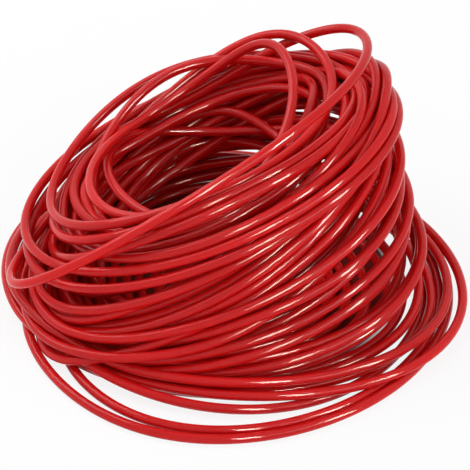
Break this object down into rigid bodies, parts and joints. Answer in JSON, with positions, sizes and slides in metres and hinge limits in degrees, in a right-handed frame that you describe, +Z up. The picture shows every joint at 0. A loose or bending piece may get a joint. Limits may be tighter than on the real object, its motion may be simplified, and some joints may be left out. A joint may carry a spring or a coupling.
{
  "type": "coiled air hose",
  "caption": "Loose leaning heap of bare flexible air hose, with square-cut ends that take a push-in or barbed fitting.",
  "frame": {"origin": "middle of the heap's footprint, on the ground that it lies on", "axes": "+Z up; +X towards the side where the heap is highest; -Y towards the side that its turns slope down to"},
  "size_m": [0.282, 0.296, 0.1577],
  "materials": {
    "polyurethane_tube": "extruded, glossy, slightly translucent red"
  },
  "bodies": {
    "root": {"hose_coil": "polyurethane_tube", "outer_end": "polyurethane_tube", "inner_end": "polyurethane_tube"}
  },
  "joints": []
}
